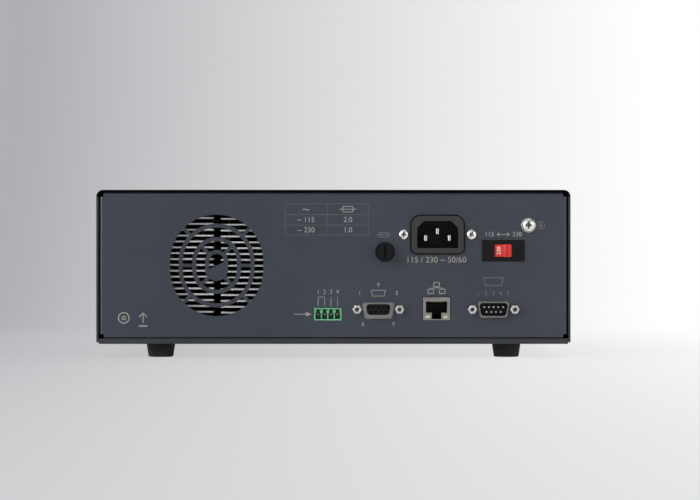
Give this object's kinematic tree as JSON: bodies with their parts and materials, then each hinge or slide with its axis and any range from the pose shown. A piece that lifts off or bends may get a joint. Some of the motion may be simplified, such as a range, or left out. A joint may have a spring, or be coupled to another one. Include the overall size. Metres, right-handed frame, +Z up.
{
  "type": "hipot tester",
  "caption": "Bench hipot tester in a sheet metal case, with a vented connector panel at the rear and a display, keys and high-voltage sockets at the front.",
  "frame": {"origin": "centre of the footprint, on the surface that the feet stand on", "axes": "+X to the right as seen from the rear, -Y out of the rear panel, +Z up"},
  "size_m": [0.2836, 0.373, 0.099],
  "materials": {
    "case_paint": "fine textured dark grey paint",
    "panel_paint": "matt slate grey paint",
    "bezel_plastic": "moulded, fine grain",
    "fascia_paint": "satin light grey paint",
    "rubber": "matt",
    "screw_steel": "nickel plated",
    "black_plastic": "moulded",
    "fuse_glass": "clear tube with plated ends",
    "selector_red": "moulded",
    "header_green": "moulded",
    "connector_metal": "tin plated",
    "contact_gold": "gold flashed",
    "sink_aluminium": "bare extrusion",
    "board_green": "solder resist",
    "capacitor_sleeve": "printed sleeve",
    "core_steel": "lacquered laminations",
    "winding_tape": "copper winding under amber tape",
    "hv_lead_red": "silicone insulation",
    "window_glass": "dark clear window",
    "display_dark": "display behind the window",
    "key_grey": "soft touch",
    "power_white": "moulded",
    "start_green": "moulded",
    "stop_red": "moulded",
    "lamp_red": "clear red lens"
  },
  "bodies": {
    "case": {"bottom_chassis": "case_paint", "top_cover": "case_paint", "rear_panel": "panel_paint", "front_bezel": "bezel_plastic", "front_plate": "fascia_paint", "rubber_feet": "rubber", "foot_screws": "screw_steel", "cover_screws": "screw_steel", "chassis_screws": "screw_steel", "inlet_body": "black_plastic", "inlet_pins": "connector_metal", "inlet_screws": "screw_steel", "fuse_holder": "black_plastic", "selector_body": "black_plastic", "ground_screw": "screw_steel", "terminal_header": "header_green", "terminal_pins": "connector_metal", "handler_shell": "connector_metal", "handler_insert": "black_plastic", "serial_shell": "connector_metal", "serial_insert": "black_plastic", "serial_pins": "connector_metal", "jackscrews": "screw_steel", "lan_shield": "connector_metal", "lan_insert": "black_plastic", "lan_contacts": "contact_gold", "heat_sink_left": "sink_aluminium", "heat_sink_right": "sink_aluminium", "fan_frame": "black_plastic", "fan_screws": "screw_steel", "power_transistors": "black_plastic", "main_board": "board_green", "board_standoffs": "contact_gold", "filter_capacitors": "capacitor_sleeve", "mains_core": "core_steel", "mains_winding": "winding_tape", "hv_core": "core_steel", "hv_winding": "winding_tape", "hv_lead": "hv_lead_red", "key_board": "board_green", "display_window": "window_glass", "display_module": "display_dark", "encoder": "connector_metal", "danger_lamp": "lamp_red", "hv_socket": "stop_red", "return_socket": "black_plastic", "socket_contacts": "contact_gold"},
    "fan": {"fan_rotor": "black_plastic"},
    "fuse": {"fuse_carrier": "fuse_glass"},
    "fuse_cap_body": {"fuse_cap": "black_plastic"},
    "selector": {"selector_slider": "selector_red"},
    "power_key": {"power_button": "power_white"},
    "start_key": {"start_button": "start_green"},
    "stop_key": {"stop_button": "stop_red"},
    "knob_body": {"knob": "bezel_plastic"},
    "soft_1": {"soft_key_1": "key_grey"},
    "soft_2": {"soft_key_2": "key_grey"},
    "soft_3": {"soft_key_3": "key_grey"},
    "soft_4": {"soft_key_4": "key_grey"},
    "soft_5": {"soft_key_5": "key_grey"}
  },
  "joints": [
    {"name": "fan_spin", "type": "hinge", "parent": "case", "child": "fan", "pos_m": [-0.069, -0.058, 0.0544], "axis": [0, 1, 0], "continuous": true},
    {"name": "fuse_pull", "type": "slide", "parent": "case", "child": "fuse", "axis": [0, -1, 0], "range_m": [0, 0.024]},
    {"name": "fuse_cap_turn", "type": "hinge", "parent": "fuse", "child": "fuse_cap_body", "pos_m": [0.0305, -0.182, 0.0623], "axis": [0, -1, 0], "range_deg": [0, 90]},
    {"name": "selector_slide", "type": "slide", "parent": "case", "child": "selector", "axis": [-1, 0, 0], "range_m": [0, 0.0042]},
    {"name": "power_press", "type": "slide", "parent": "case", "child": "power_key", "axis": [0, -1, 0], "range_m": [0, 0.003], "stiffness_N_per_m": 600},
    {"name": "start_press", "type": "slide", "parent": "case", "child": "start_key", "axis": [0, -1, 0], "range_m": [0, 0.002], "stiffness_N_per_m": 800},
    {"name": "stop_press", "type": "slide", "parent": "case", "child": "stop_key", "axis": [0, -1, 0], "range_m": [0, 0.002], "stiffness_N_per_m": 800},
    {"name": "knob_turn", "type": "hinge", "parent": "case", "child": "knob_body", "pos_m": [-0.0475, 0.178, 0.067], "axis": [0, 1, 0], "continuous": true},
    {"name": "soft_1_press", "type": "slide", "parent": "case", "child": "soft_1", "axis": [0, -1, 0], "range_m": [0, 0.001], "stiffness_N_per_m": 1000},
    {"name": "soft_2_press", "type": "slide", "parent": "case", "child": "soft_2", "axis": [0, -1, 0], "range_m": [0, 0.001], "stiffness_N_per_m": 1000},
    {"name": "soft_3_press", "type": "slide", "parent": "case", "child": "soft_3", "axis": [0, -1, 0], "range_m": [0, 0.001], "stiffness_N_per_m": 1000},
    {"name": "soft_4_press", "type": "slide", "parent": "case", "child": "soft_4", "axis": [0, -1, 0], "range_m": [0, 0.001], "stiffness_N_per_m": 1000},
    {"name": "soft_5_press", "type": "slide", "parent": "case", "child": "soft_5", "axis": [0, -1, 0], "range_m": [0, 0.001], "stiffness_N_per_m": 1000}
  ]
}
